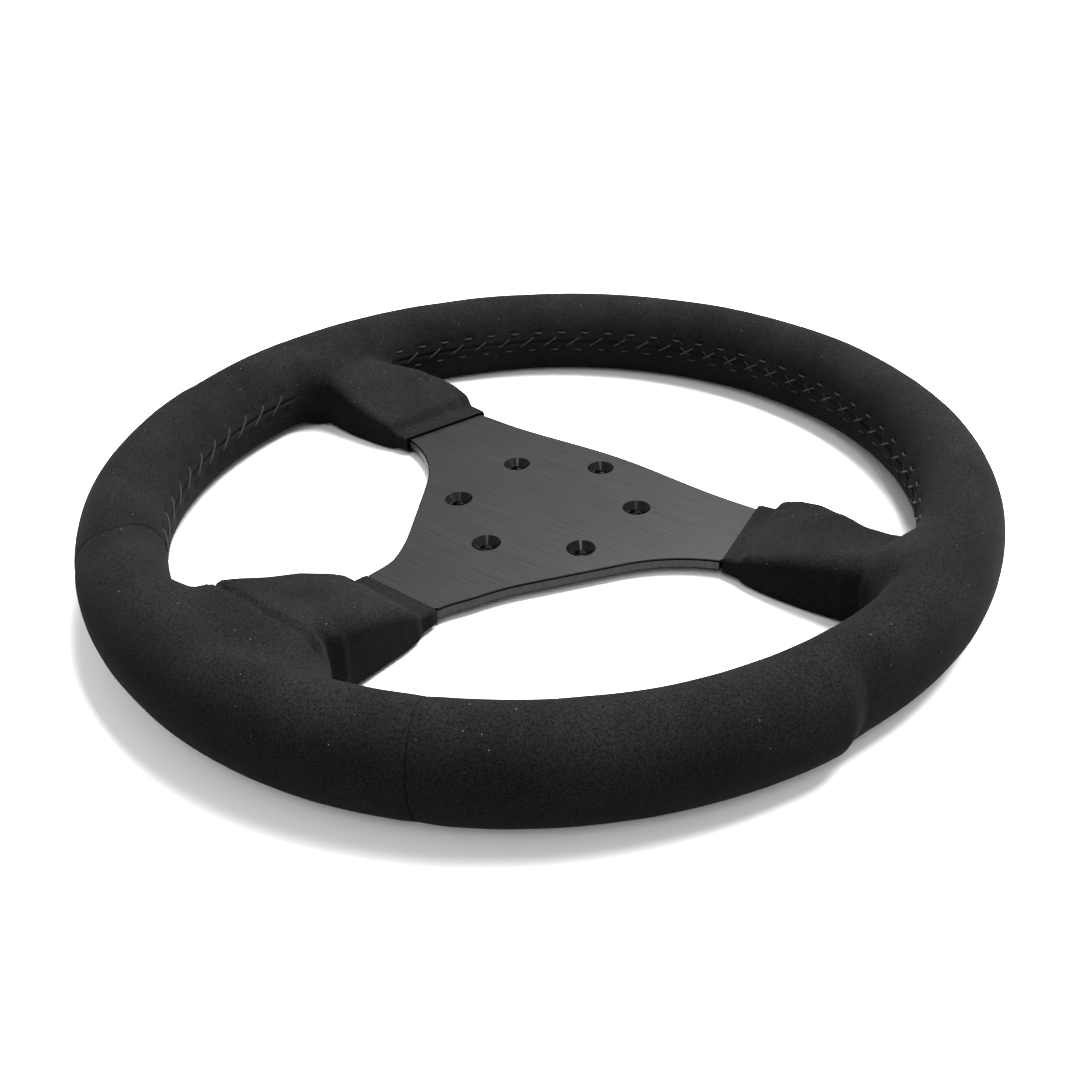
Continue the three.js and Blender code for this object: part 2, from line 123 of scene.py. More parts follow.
BOTTOM_STATIONS = {
    "halves": ([15, 15.2, 16.6, 17.2, 17.3, 17.5, 17.8, 18.2, 19.2, 20.2],
               [19.6, 19.6, 19.6, 19.8, 20, 20.6, 25.5, 28, 34, 36]),
    "tops": ([5.3, 6.3, 10, 15.2, 20, 24.6, 27.6, 29.4, 30.6, 31.4],
             [5.3, 6.3, 10.8, 15.6, 21.8, 27.4, 28.8, 29.8, 30.9, 31.4]),
    "corners": ([1.5, 2, 2.8, 4, 4.5, 6, 6.5, 7, 8, 9], [1.5, 2, 2.6, 3.5, 4.5, 6, 6.5, 7, 8, 9]),
    "bottom": [-1.3, -1.3, -2.2, -2.7, -2.85, -2.95, -2.8, -2.5, -1, 1],
    "foot": [1.4, 1.6, 2.4, 3, 4, 5, 5.5, 6, 6, 6],
}
PAIRED, SINGLE = ("halves", "tops", "corners"), ("bottom", "foot")
SOFTENING = 0.65  # how far the suede rounds a step along the boot
SINK_FROM, SINK_SLOPE = 12, 0.7  # a boot sinks into the rim over this much of its far end
SWELL_WIDTH = 24  # across the spoke, from the far side's swell to the near side's


class Boot:
    """A boot's shape, from its lip to where it sinks into the rim.

    turn, rise: the spoke's direction in degrees, and how far its axis is from the centre, to twelve o'clock.
    lip, slant: how far along the spoke the lip is, and its lean, per millimetre across.
    near_side: 1 or -1, the side across the spoke that looks towards five o'clock.
    swell: how far the rim's inner side swells on the near and the far side, and out to what reach.
    crease: how deep the line is where the boot meets the rim.
    top_crease: where along the boot its top ends in a fold, or 0.
    """

    def __init__(
        self, turn, rise, lip, slant, steps, stations, near_side, swell, crease, mouth, top_crease=0
    ):
        self.rise, self.lip, self.slant, self.mouth = rise, lip, slant, mouth
        self.near_side, self.swell, self.crease, self.top_crease = near_side, swell, crease, top_crease
        self.rotation = np.array(Matrix.Rotation(math.radians(turn), 3, "Z"))
        self.length = steps[-1]
        self.fine = np.arange(-4, self.length + 4, 0.25)
        kernel = bell(np.arange(-3, 3.1, 0.25), SOFTENING * math.sqrt(2))
        kernel /= kernel.sum()
        pad = len(kernel) // 2

        def table(values):
            fine_values = np.pad(np.interp(self.fine, steps, values), pad, mode="edge")
            return np.convolve(fine_values, kernel, mode="valid")

        self.pairs = {key: [table(side) for side in stations[key]] for key in PAIRED}
        self.tables = {key: table(stations[key]) for key in SINGLE}

    def at(self, along):
        """The section's sizes: sides towards +v and -v, tops, corners, bottom and foot."""
        tables = [side for key in PAIRED for side in self.pairs[key]] + [self.tables[key] for key in SINGLE]
        return [np.interp(along, self.fine, values) for values in tables]

    def to_local(self, points):
        """Along the spoke from the lip, across it, and up."""
        local = (points - np.array([0, self.rise, 0])) @ self.rotation
        across = local[:, 1]
        along = (local[:, 0] - self.lip - self.slant * across) / (1 - self.slant * across / self.length)
        return along, across, local[:, 2]

    def to_world(self, along, across, up):
        slant = self.slant * (1 - along / self.length)
        local = np.stack([self.lip + along + slant * across, across, up], axis=1)
        return local @ self.rotation.T + np.array([0, self.rise, 0])

    def distance(self, points):
        """Signed distance to the boot's section, taken square to the spoke."""
        along, across, up = self.to_local(points)
        left, right, top_left, top_right, corner_left, corner_right, bottom, foot = self.at(along)
        half = (left + right) / 2
        across = across - (left - right) / 2
        share = np.clip(across / half, -1, 1) / 2 + 0.5
        top = top_right + (top_left - top_right) * share
        corner = corner_right + (corner_left - corner_right) * smooth(share)
        middle, tall = (top + bottom) / 2, (top - bottom) / 2
        radius = np.minimum(np.where(up > middle, corner, foot), tall)
        side = np.abs(across) - (half - radius)
        level = np.abs(up - middle) - (tall - radius)
        outside = np.hypot(np.maximum(side, 0), np.maximum(level, 0))
        past = SINK_SLOPE * np.maximum(along - self.length + SINK_FROM, 0)
        return outside + np.minimum(np.maximum(side, level), 0) - radius + past

    def section(self, along, square, inset=0.0):
        """The section's outline at one station, for points on the edge of a square from -1 to 1."""
        left, right, top_left, top_right, corner_left, corner_right, bottom, foot = self.at(float(along))
        half, shift = (left + right) / 2 - inset, (left - right) / 2
        share = square[:, 0] / 2 + 0.5
        top = top_right + (top_left - top_right) * share - inset
        bottom = bottom + inset
        middle, tall = (top + bottom) / 2, (top - bottom) / 2
        across, up = square[:, 0] * half, square[:, 1] * tall
        corner = corner_right + (corner_left - corner_right) * share
        radius = np.minimum(np.maximum(np.where(up > 0, corner, foot) - inset, 0.3), tall)
        side, level = np.abs(across) - (half - radius), np.abs(up) - (tall - radius)
        turned = (side > 0) & (level > 0)
        scale = radius / np.maximum(np.hypot(side, level), 1e-9)
        across = np.where(turned, np.sign(across) * (half - radius + side * scale), across)
        up = np.where(turned, np.sign(up) * (tall - radius + level * scale), up)
        return self.to_world(np.full(len(square), float(along)), across + shift, middle + up)

    def rim_swell(self, own, across, points):
        """How far the rim's inner side stands out, by the distance to the boot."""
        near, far, reach = self.swell
        size = near + (far - near) * smooth(0.5 - across * self.near_side / SWELL_WIDTH)
        inner = smooth((RIM_RADIUS - 2.5 - np.hypot(points[:, 0], points[:, 1])) / 10)
        under_crest = smooth((rim_high.z - points[:, 2]) / 6)
        return size * inner * under_crest * np.clip(1 - np.maximum(own, -2) / reach, 0, None) ** 2


# The mouth is where a boot's mesh joins the rim's: from and to, in degrees round the wheel and then round
# the grip's section, counted from its outer side over the top.
boots = [
    Boot(0, 25, 72.2, -0.2, STEPS, RIGHT_STATIONS, -1, (11, 2.5, 15), 0.95, ((-0.5, 22), (126, 256))),
    Boot(180, 25, 78.2, 0.233, STEPS, LEFT_STATIONS, 1, (8, 2.5, 14), 0.15, ((158, 180.5), (126, 256))),
    Boot(
        -90, 0, 76, 0, BOTTOM_STEPS, BOTTOM_STATIONS, 1, (15, 5, 20), 1.1, ((258, 280), (126, 256)),
        top_crease=51.5,
    ),
]
BLEND = 1.8  # how far the suede bridges the corner between a boot and the swollen rim


def body_distance(points):
    """Signed distance to the whole suede surface: the boots run into the rim."""
    rim = rim_distance(points)
    result = rim
    for boot in boots:
        along, across, up = boot.to_local(points)
        near = (along > 8) & (along < boot.length + 40) & (np.abs(across) < 60)
        if not near.any():
            continue
        base, own = rim[near], boot.distance(points[near])
        base = base - boot.rim_swell(own, across[near], points[near])
        share = np.maximum(BLEND - np.abs(base - own), 0) / BLEND
        joined = np.minimum(base, own) - share**2 * BLEND / 4
        result = result.copy()
        result[near] = np.minimum(result[near], joined)
    return result


def gradient(points, step=0.05):
    columns = []
    for axis in range(3):
        offset = np.zeros(3)
        offset[axis] = step
        columns.append((body_distance(points + offset) - body_distance(points - offset)) / (2 * step))
    return np.stack(columns, axis=1)


def settle(points, rounds=4, reach=2.5):
    """Moves points along the gradient until they lie on the surface."""
    for _ in range(rounds):
        slope = gradient(points)
        size = np.maximum((slope**2).sum(axis=1), 0.05)
        move = np.clip(body_distance(points) / size, -reach, reach)
        points = points - slope * move[:, None]
    return points


def relax(points, faces, free, rounds):
    """Evens out the free points over the surface."""
    edges = np.unique(np.sort(np.concatenate([faces[:, [i, (i + 1) % 4]] for i in range(4)]), axis=1), axis=0)
    edges = edges[free[edges].any(axis=1)]
    for _ in range(rounds):
        total, count = np.zeros_like(points), np.zeros(len(points))
        for here, there in ((0, 1), (1, 0)):
            np.add.at(total, edges[:, here], points[edges[:, there]])
            np.add.at(count, edges[:, here], 1)
        middle = total[free] / count[free][:, None]
        points[free] = settle(points[free] * 0.4 + middle * 0.6, rounds=1)
    points[free] = settle(points[free])
    return points


# ---------------------------------------------------------------- rows round the grip's section
section_turn = np.linspace(math.pi, 3 * math.pi, 721)
section_path = np.stack(
    [GRIP_HALF_WIDTH * np.cos(section_turn), GRIP_HALF_HEIGHT * np.sin(section_turn)], axis=1
)
section_length = np.concatenate([[0], np.cumsum(np.hypot(*np.diff(section_path, axis=0).T))])
GIRTH = section_length[-1]
ROW = 1.25 * FINE  # millimetres between two rows
COLUMN = 0.4 * FINE  # degrees round the wheel between two columns
SLIT_ROWS = [0, 0.35, 0.7, 1.1, 1.6, 2.3, 3.2]


def grip_rows():
    """Places round the section from the inner side: fine at the lacing slit, then even."""
    rest = np.linspace(SLIT_ROWS[-1], GIRTH - SLIT_ROWS[-1], round((GIRTH - 2 * SLIT_ROWS[-1]) / ROW) + 1)
    return np.concatenate([SLIT_ROWS[:-1], rest, [GIRTH - row for row in reversed(SLIT_ROWS[1:-1])]])


rows = grip_rows()
row_turns = np.interp(rows, section_length, section_turn)


def row_at(degrees):
    """The row that is nearest to an angle of the section, from the outer side over the top."""
    turn = math.radians(degrees)
    turn += 2 * math.pi if turn < math.pi else 0
    return int(np.argmin(np.abs(row_turns - turn)))


# ---------------------------------------------------------------- suede panels
SEAM_RIGHT, SEAM_LEFT = -62.7, 242.0  # the cross seams, in degrees from three o'clock
SEAM_LEAN = -5.5  # the left seam leans this far back on the grip's inner side
SEAM_CLEAR = 0.06  # each panel ends this far from the seam
SEAM_COLUMNS = [SEAM_CLEAR, 0.14, 0.28, 0.5, 0.8, 1.2]
SEAM_ROLL, SEAM_DROP = 0.5, 0.6  # how wide and how deep the panel's edge rolls in
FAR_FROM_SEAM = 9999.0  # the seam distance given to every point of a boot
STRAIGHT_END = 32  # beyond this along a boot its rings are closer
PULL_FROM, PULL_SHARE = 36, 0.85  # from here a boot's rings bend towards its mouth, and by this share
DEGREE = math.radians(1) * RIM_RADIUS  # millimetres along the rim's middle for one degree


def seam_lean(theta, turn):
    inner = np.clip(-np.cos(turn), 0, 1) ** 1.5
    return SEAM_LEAN * inner * bell(theta - SEAM_LEFT, 12)


def grip_columns(start, end):
    """Places round the wheel for one panel: fine at both seams, then even."""
    edge = np.array(SEAM_COLUMNS) / DEGREE
    inner = np.linspace(start + edge[-1], end - edge[-1], round((end - start) / COLUMN) + 1)
    return np.concatenate([start + edge[:-1], inner, (end - edge[:-1])[::-1]])


def panel(start, end, own_boots):
    """One panel with its boots: points, faces, each point's distance from a seam, and if it is evened out."""
    theta = grip_columns(start, end)
    count = len(rows)
    columns = len(theta)
    grid_theta, grid_turn = np.meshgrid(theta, row_turns, indexing="ij")
    spin = np.radians(grid_theta + seam_lean(grid_theta, grid_turn))
    radius = RIM_RADIUS + GRIP_HALF_WIDTH * np.cos(grid_turn)
    height = GRIP_PLANE + GRIP_HALF_HEIGHT * np.sin(grid_turn)
    points = [np.stack([radius * np.cos(spin), radius * np.sin(spin), height], axis=2).reshape(-1, 3)]
    seam = [(np.minimum(grid_theta - start, end - grid_theta) * DEGREE).reshape(-1)]
    free = [np.zeros(columns * count, bool)]
    ids = np.arange(columns * count).reshape(columns, count)
    keep = np.ones((columns - 1, count), bool)
    faces = []
    total = columns * count
    for boot in own_boots:
        (from_theta, to_theta), (over, under) = boot.mouth
        first, last = (int(np.argmin(np.abs(theta - side))) for side in (from_theta, to_theta))
        high, low = row_at(over), row_at(under)
        side_rows = [*range(high, count), *range(0, low + 1)]
        keep[first:last, [*range(high, count), *range(0, low)]] = False
        loop = [
            *ids[first:last, high],
            *ids[last, side_rows[:-1]],
            *ids[last:first:-1, low],
            *ids[first, side_rows[:0:-1]],
        ]
        across = np.linspace(-1, 1, last - first + 1)
        down = np.cumsum([0, *np.diff(rows[side_rows]) % GIRTH])
        down = 1 - 2 * down / down[-1]
        square = np.array(
            [(a, 1) for a in across[:-1]] + [(1, b) for b in down[:-1]]
            + [(-a, -1) for a in across[:-1]] + [(-1, b) for b in down[:0:-1]]
        )
        stations = [
            0.0, 0.12, 0.4, *np.arange(1.2, STRAIGHT_END, 0.95 * FINE),
            *np.arange(STRAIGHT_END, boot.length - SINK_FROM, 0.6 * FINE),
        ]
        insets = [0.4, 0.12, *np.zeros(len(stations) - 2)]
        mouth = points[0][loop]
        rings = []
        reach = boot.length - 14
        for station, inset in zip(stations, insets):
            ring = boot.section(station, square, inset)
            pull = smooth((station - PULL_FROM) / (reach - PULL_FROM)) * PULL_SHARE
            rings.append(ring * (1 - pull) + mouth * pull)
        ring_ids = [np.arange(len(loop)) + total + i * len(loop) for i in range(len(rings))]
        total += len(rings) * len(loop)
        points.extend(rings)
        seam.extend(np.full(len(loop), FAR_FROM_SEAM) for _ in rings)
        free.extend(np.full(len(loop), station > 30) for station in stations)
        for here, there in zip(ring_ids, [*ring_ids[1:], np.array(loop)]):
            faces.append(np.stack([here, there, np.roll(there, -1), np.roll(here, -1)], axis=1))
        margin = round(9 / COLUMN)
        band = [*range(high - round(12 / ROW), count), *range(0, low + round(10 / ROW))]
        free[0][ids[first - margin:last + margin + 1][:, band].reshape(-1)] = True
    around = np.roll(ids, -1, axis=1)
    quads = np.stack([ids[:-1], ids[1:], around[1:], around[:-1]], axis=2)[keep]
    faces = np.concatenate([quads, *faces])
    points, seam, free = np.concatenate(points), np.concatenate(seam), np.concatenate(free)
    used, flat = np.unique(faces, return_inverse=True)
    return points[used], flat.reshape(faces.shape), seam[used], free[used]


# ---------------------------------------------------------------- what the suede does on that shape
STITCH_PITCH = 11.3
STITCH_ROW = 4.2  # the stitch rows lie this far above and below the slit
CROSSED_BEFORE = 100  # the threads cross in an X up to this many degrees from three o'clock
LACE_RUNS = {"lacing_top": (18, 162), "lacing_left": (184, 236), "lacing_right": (304, 356)}
INNER_RADIUS = RIM_RADIUS - GRIP_HALF_WIDTH
INNER_DEGREE = math.radians(1) * INNER_RADIUS


def stitch_angles(run):
    """Where each stitch of a run is, in degrees."""
    start, end = run
    count = round(math.radians(end - start) * INNER_RADIUS / STITCH_PITCH)
    return start + (np.arange(count) + 0.5) * (end - start) / count


def lacing_relief(points):
    """A slit whose two edges are drawn together, and a pucker at each stitch."""
    theta = np.degrees(np.arctan2(points[:, 1], points[:, 0])) % 360
    inner = smooth((RIM_RADIUS - np.hypot(points[:, 0], points[:, 1])) / 8)
    level = points[:, 2] - GRIP_PLANE
    relief = np.zeros(len(points))
    for start, end in LACE_RUNS.values():
        inside = smooth((theta - start + 2) / 4) * smooth((end + 2 - theta) / 4) * inner
        relief += inside * (0.3 * bell(level, 3.2) - 0.85 * bell(level, 0.55))
        places = stitch_angles((start, end))
        pitch = places[1] - places[0]
        beat = (theta - places[0]) / pitch
        off = np.abs(beat - np.round(beat)) * pitch * INNER_DEGREE
        for row in (-STITCH_ROW, STITCH_ROW):
            relief -= inside * 0.6 * bell(off, 2.2) * bell(level - row, 1.0)
    return relief


def top_crease_relief(points, before, across, up):
    """A boot whose top ends in a fold: it stands over the rim there, and the rim's side is wrinkled."""
    ripple = np.array([noise.noise(Vector(point) / 7) for point in points])
    wrinkle = np.array([noise.noise(Vector(point) / 2.2) for point in points])
    before = before + 1.1 * ripple
    shape = -1.9 * bell(before, 0.9) + 0.5 * smooth(before / 1.5) * np.exp(-np.maximum(before, 0) / 7)
    shape += 0.35 * wrinkle * bell(before + 2.5, 3.5)
    return shape * smooth((up - 22) / 5) * smooth((across + 34) / 6) * smooth((31 - across) / 5)


def crease_relief(points):
    """The pinched line where a boot meets the rim, and the fold that stands beside it on the near side."""
    relief = np.zeros(len(points))
    rim = rim_distance(points)
    for boot in boots:
        along, across, up = boot.to_local(points)
        near = (along > 20) & (along < boot.length + 3) & (np.abs(across) < 36)
        own = boot.distance(points[near])
        gap = rim[near] - boot.rim_swell(own, across[near], points[near]) - own
        crease = -boot.crease * bell(gap, 1.2) * smooth((up[near] + 2) / 5)
        if boot.top_crease:
            crease *= smooth((29 - up[near]) / 4)
            before = boot.top_crease - along[near]
            relief[near] += top_crease_relief(points[near], before, across[near], up[near])
        side = smooth((across[near] * boot.near_side - 12) / 4) * smooth((25 - up[near]) / 8)
        relief[near] += crease + 0.5 * boot.crease * side * bell(gap - 4.5, 1.3)
    return relief


def waviness(points):
    """The cover's slight unevenness."""
    broad = np.array([noise.noise(Vector(point) / 34) for point in points])
    close = np.array([noise.noise(Vector(point) / 11 + Vector((7, 3, 1))) for point in points])
    return 0.28 * broad + 0.09 * close


def seam_relief(seam):
    """The edge of a panel rolls in towards the seam, and is drawn down a little beside it."""
    roll = np.clip(1 - (seam - SEAM_CLEAR) / SEAM_ROLL, 0, 1)
    return -SEAM_DROP * (1 - np.sqrt(1 - roll**2)) - 0.22 * bell(seam, 3.0)


def shell(points, normals, faces):
    """A skin with thickness: the outer side, the inner side, and the edges between them."""
    count = len(points)
    both = np.concatenate([points, points - normals * SUEDE])
    sides = np.concatenate([faces[:, [i, (i + 1) % 4]] for i in range(4)])
    ways = {(int(a), int(b)) for a, b in sides}
    border = [(a, b) for a, b in ways if (b, a) not in ways]
    walls = [(b, a, a + count, b + count) for a, b in sorted(border)]
    return both, np.concatenate([faces, faces[:, ::-1] + count, np.array(walls)])


def mesh_object(name, points, faces):
    mesh = bpy.data.meshes.new(name)
    mesh.from_pydata((np.asarray(points) * MM).tolist(), [], [list(face) for face in faces])
    mesh.polygons.foreach_set("use_smooth", [True] * len(mesh.polygons))
    mesh.update()
    thing = bpy.data.objects.new(name, mesh)
    bpy.context.scene.collection.objects.link(thing)
    return thing


FLOOR_CLEAR = 0.02
LIP_BAND = (-3, 1)  # along a boot, where its lip has no relief


def suede_panel(name, start, end, own_boots, replaced):
    points, faces, seam, free = panel(start, end, own_boots)
    moving = seam < FAR_FROM_SEAM  # the boots' rings lie on their own shape already
    points[moving] = settle(points[moving])
    points = relax(points, faces, free, 12)
    normals = gradient(points)
    normals /= np.linalg.norm(normals, axis=1)[:, None]
    lip = np.zeros(len(points), bool)
    for boot in own_boots:
        along, across, _ = boot.to_local(points)
        lip |= (along > LIP_BAND[0]) & (along < LIP_BAND[1]) & (np.abs(across) < 30)
    relief = lacing_relief(points) + crease_relief(points) + waviness(points) + seam_relief(seam)
    relief[lip] = 0
    points = points + normals * relief[:, None]
    points[:, 2] = np.maximum(points[:, 2], FLOOR + FLOOR_CLEAR)
    points, faces = shell(points, normals, faces)
    points[:, 2] = np.maximum(points[:, 2], FLOOR + FLOOR_CLEAR)
    cover = mesh_object(name, points, faces)
    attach(cover, "root")
    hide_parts(*replaced)
    return cover


upper_cover = suede_panel("suede_upper", SEAM_RIGHT, SEAM_LEFT, boots[:2],
                          ["rim_cover_upper", "boot_cover_right", "boot_cover_left"])
bottom_cover = suede_panel("suede_bottom", SEAM_LEFT, SEAM_RIGHT + 360, boots[2:],
                           ["rim_cover_bottom", "boot_cover_bottom"])


# ---------------------------------------------------------------- lacing thread
THREAD = 0.7
PLY_TURN = 2.6  # one turn of the thread's two plies


def grip_inner(theta, level, lift):
    """A point over the grip's inner side."""
    bulge = math.sqrt(1 - (level / GRIP_HALF_HEIGHT) ** 2)
    radius = RIM_RADIUS - (GRIP_HALF_WIDTH + lift) * bulge
    spin = math.radians(theta)
    return Vector((radius * math.cos(spin), radius * math.sin(spin), GRIP_PLANE + level))


def thread_tube(path, sides=8):
    """A two-ply thread along a path, closed at both ends."""
    points, faces = [], []
    travelled = 0.0
    for i, place in enumerate(path):
        before, after = path[max(i - 1, 0)], path[min(i + 1, len(path) - 1)]
        forward = (after - before).normalized()
        outward = Vector((-place.x, -place.y, 0)).normalized()
        side = forward.cross(outward).normalized()
        outward = side.cross(forward)
        travelled += (place - before).length
        turn = 2 * math.pi * travelled / PLY_TURN
        for k in range(sides):
            angle = 2 * math.pi * k / sides
            radius = THREAD / 2 * (1 + 0.16 * math.cos(2 * (angle - turn)))
            points.append(place + (side * math.cos(angle) + outward * math.sin(angle)) * radius)
    for i in range(len(path) - 1):
        for k in range(sides):
            a, b = i * sides + k, i * sides + (k + 1) % sides
            faces.append((a, b, b + sides, a + sides))
    return points, faces, sides


def stroke(start, end, height, steps):
    """A thread from one hole to another, each (degrees, level), that arches over the suede between them."""
    path = []
    for i in range(steps + 1):
        t = i / steps
        arch = min(1.0, 4.2 * min(t, 1 - t)) ** 0.5
        lift = -0.9 + (0.9 + height) * arch
        path.append(grip_inner(start[0] + (end[0] - start[0]) * t, start[1] + (end[1] - start[1]) * t, lift))
    return path


def lacing(name, run):
    """Dashes along both edges and threads that cross the slit. The left run has long slanted threads only."""
    bm = bmesh.new()
    places = stitch_angles(run)
    pitch = places[1] - places[0]
    dash = 0.155 * pitch
    for place in places:
        low_place = place + 0.3 * pitch
        strokes = [
            stroke((place - dash, STITCH_ROW), (place + dash, STITCH_ROW), 0.15, 10),
            stroke((low_place - dash, -STITCH_ROW), (low_place + dash, -STITCH_ROW), 0.15, 10),
        ]
        if name == "lacing_left":
            strokes = [stroke((place, 3.6), (place + 0.8 * pitch, -3.2), 0.3, 20)]
        elif place < places[-1]:
            strokes.append(stroke((place + 0.17 * pitch, 2.4), (place + 0.83 * pitch, -2.4), 0.35, 20))
        if place < CROSSED_BEFORE:
            strokes.append(stroke((place + 0.9 * pitch, 2.4), (place + 0.3 * pitch, -2.4), 0.0, 20))
        for path in strokes:
            points, faces, sides = thread_tube(path)
            verts = [bm.verts.new(point * MM) for point in points]
            for face in faces:
                bm.faces.new([verts[i] for i in face])
            bm.faces.new(verts[:sides][::-1])
            bm.faces.new(verts[-sides:])
    bmesh.ops.recalc_face_normals(bm, faces=bm.faces)
    mesh = bpy.data.meshes.new(name + "_thread")
    bm.to_mesh(mesh)
    bm.free()
    mesh.polygons.foreach_set("use_smooth", [True] * len(mesh.polygons))
    thread = bpy.data.objects.new(name + "_thread", mesh)
    bpy.context.scene.collection.objects.link(thread)
    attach(thread, "root")
    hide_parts(name)
    return thread


threads = [lacing(name, run) for name, run in LACE_RUNS.items()]

# ---------------------------------------------------------------- materials


class Nodes:
    """A material under construction."""

    def __init__(self, name):
        self.material = bpy.data.materials.new(name)
        self.material.use_nodes = True
        self.tree = self.material.node_tree
        self.shader = self.tree.nodes["Principled BSDF"]
        self.place = self.add("ShaderNodeTexCoord").outputs["Object"]

    def add(self, kind, inputs=(), **settings):
        node = self.tree.nodes.new(kind)
        for key, value in settings.items():
            setattr(node, key, value)
        for key, value in dict(inputs).items():
            if isinstance(value, bpy.types.NodeSocket):
                self.tree.links.new(value, node.inputs[key])
            else:
                node.inputs[key].default_value = value
        return node

    def set(self, **values):
        for key, value in values.items():
            socket = self.shader.inputs[key.replace("_", " ")]
            if isinstance(value, bpy.types.NodeSocket):
                self.tree.links.new(value, socket)
            else:
                socket.default_value = value

    def noise(self, size, detail=2.0, roughness=0.5, stretch=(1, 1, 1)):
        """Noise whose features measure about size millimetres."""
        scales = [1 / (size * MM * s) for s in stretch]
        scaled = self.add("ShaderNodeMapping", {"Vector": self.place, "Scale": scales})
        inputs = {"Vector": scaled.outputs[0], "Scale": 1.0, "Detail": detail, "Roughness": roughness}
        return self.add("ShaderNodeTexNoise", inputs).outputs["Fac"]

    def ramp(self, value, stops):
        node = self.add("ShaderNodeValToRGB", {"Fac": value})
        while len(node.color_ramp.elements) < len(stops):
            node.color_ramp.elements.new(0.5)
        for element, (position, grey) in zip(node.color_ramp.elements, stops):
            element.position = position
            element.color = (*([grey] * 3 if isinstance(grey, (int, float)) else grey), 1)
        return node.outputs["Color"]

    def mix(self, kind, factor, first, second):
        inputs = {"Factor": factor, "A": first, "B": second}
        node = self.add("ShaderNodeMix", data_type="RGBA", blend_type=kind)
        for socket in node.inputs:
            if socket.name in inputs and socket.type in ("RGBA", "VALUE") and socket.enabled:
                value = inputs[socket.name]
                if isinstance(value, bpy.types.NodeSocket):
                    self.tree.links.new(value, socket)
                elif socket.type == "RGBA":
                    socket.default_value = (value, value, value, 1)
                else:
                    socket.default_value = value
        return next(s for s in node.outputs if s.type == "RGBA" and s.enabled)

    def bump(self, height, distance, strength=1.0, normal=None):
        inputs = {"Height": height, "Distance": distance * MM, "Strength": strength}
        if normal is not None:
            inputs["Normal"] = normal
        return self.add("ShaderNodeBump", inputs).outputs["Normal"]


PLATE_TONE = 0.02
FACE_TILT, SIDE_TILT = 0.97, 0.15  # the upright part of a normal on a face, and on the plate's side
HOLE_ZONE = 44  # every countersink lies within this radius


def suede_material():
    """Black suede: a fine nap that catches light, patches where it was stroked, and specks of lint."""
    m = Nodes("suede")
    patches = m.ramp(m.noise(26, 3, 0.6), [(0.3, 0.72), (0.7, 1.2)])
    grain = m.ramp(m.noise(0.6, 2, 0.7), [(0.3, 0.35), (0.7, 1.8)])
    base = m.mix("MULTIPLY", 1.0, m.mix("MULTIPLY", 1.0, patches, grain), 0.0072)
    cells = m.add("ShaderNodeTexVoronoi", {"Vector": m.place, "Scale": 1 / (4 * MM), "Randomness": 1.0})
    speck = m.add("ShaderNodeMath", {0: cells.outputs["Distance"], 1: 0.04}, operation="LESS_THAN").outputs[0]
    chosen = m.add("ShaderNodeSeparateColor", {"Color": cells.outputs["Color"]}).outputs["Red"]
    rare = m.add("ShaderNodeMath", {0: chosen, 1: 0.5}, operation="GREATER_THAN").outputs[0]
    lint = m.add("ShaderNodeMath", {0: speck, 1: rare}, operation="MULTIPLY").outputs[0]
    colour = m.mix("MIX", lint, base, 0.13)
    fine = m.bump(m.noise(0.5, 3, 0.7), 0.08, 0.5)
    nap = m.bump(m.noise(2.4, 3, 0.6), 0.12, 0.4, fine)
    m.set(Base_Color=colour, Roughness=1.0, Normal=nap)
    m.shader.inputs["Specular IOR Level"].default_value = 0.025
    m.shader.inputs["Sheen Weight"].default_value = 0.015
    m.shader.inputs["Sheen Roughness"].default_value = 0.45
    m.shader.inputs["Sheen Tint"].default_value = (0.8, 0.8, 0.82, 1)
    return m.material


def thread_material():
    m = Nodes("waxed_thread")
    fibre = m.ramp(m.noise(0.3, 2, 0.6), [(0.3, 0.005), (0.7, 0.012)])
    m.set(Base_Color=fibre, Roughness=0.7, Normal=m.bump(m.noise(0.2), 0.05, 0.6))
    m.shader.inputs["Specular IOR Level"].default_value = 0.2
    m.shader.inputs["Sheen Weight"].default_value = 0.03
    return m.material


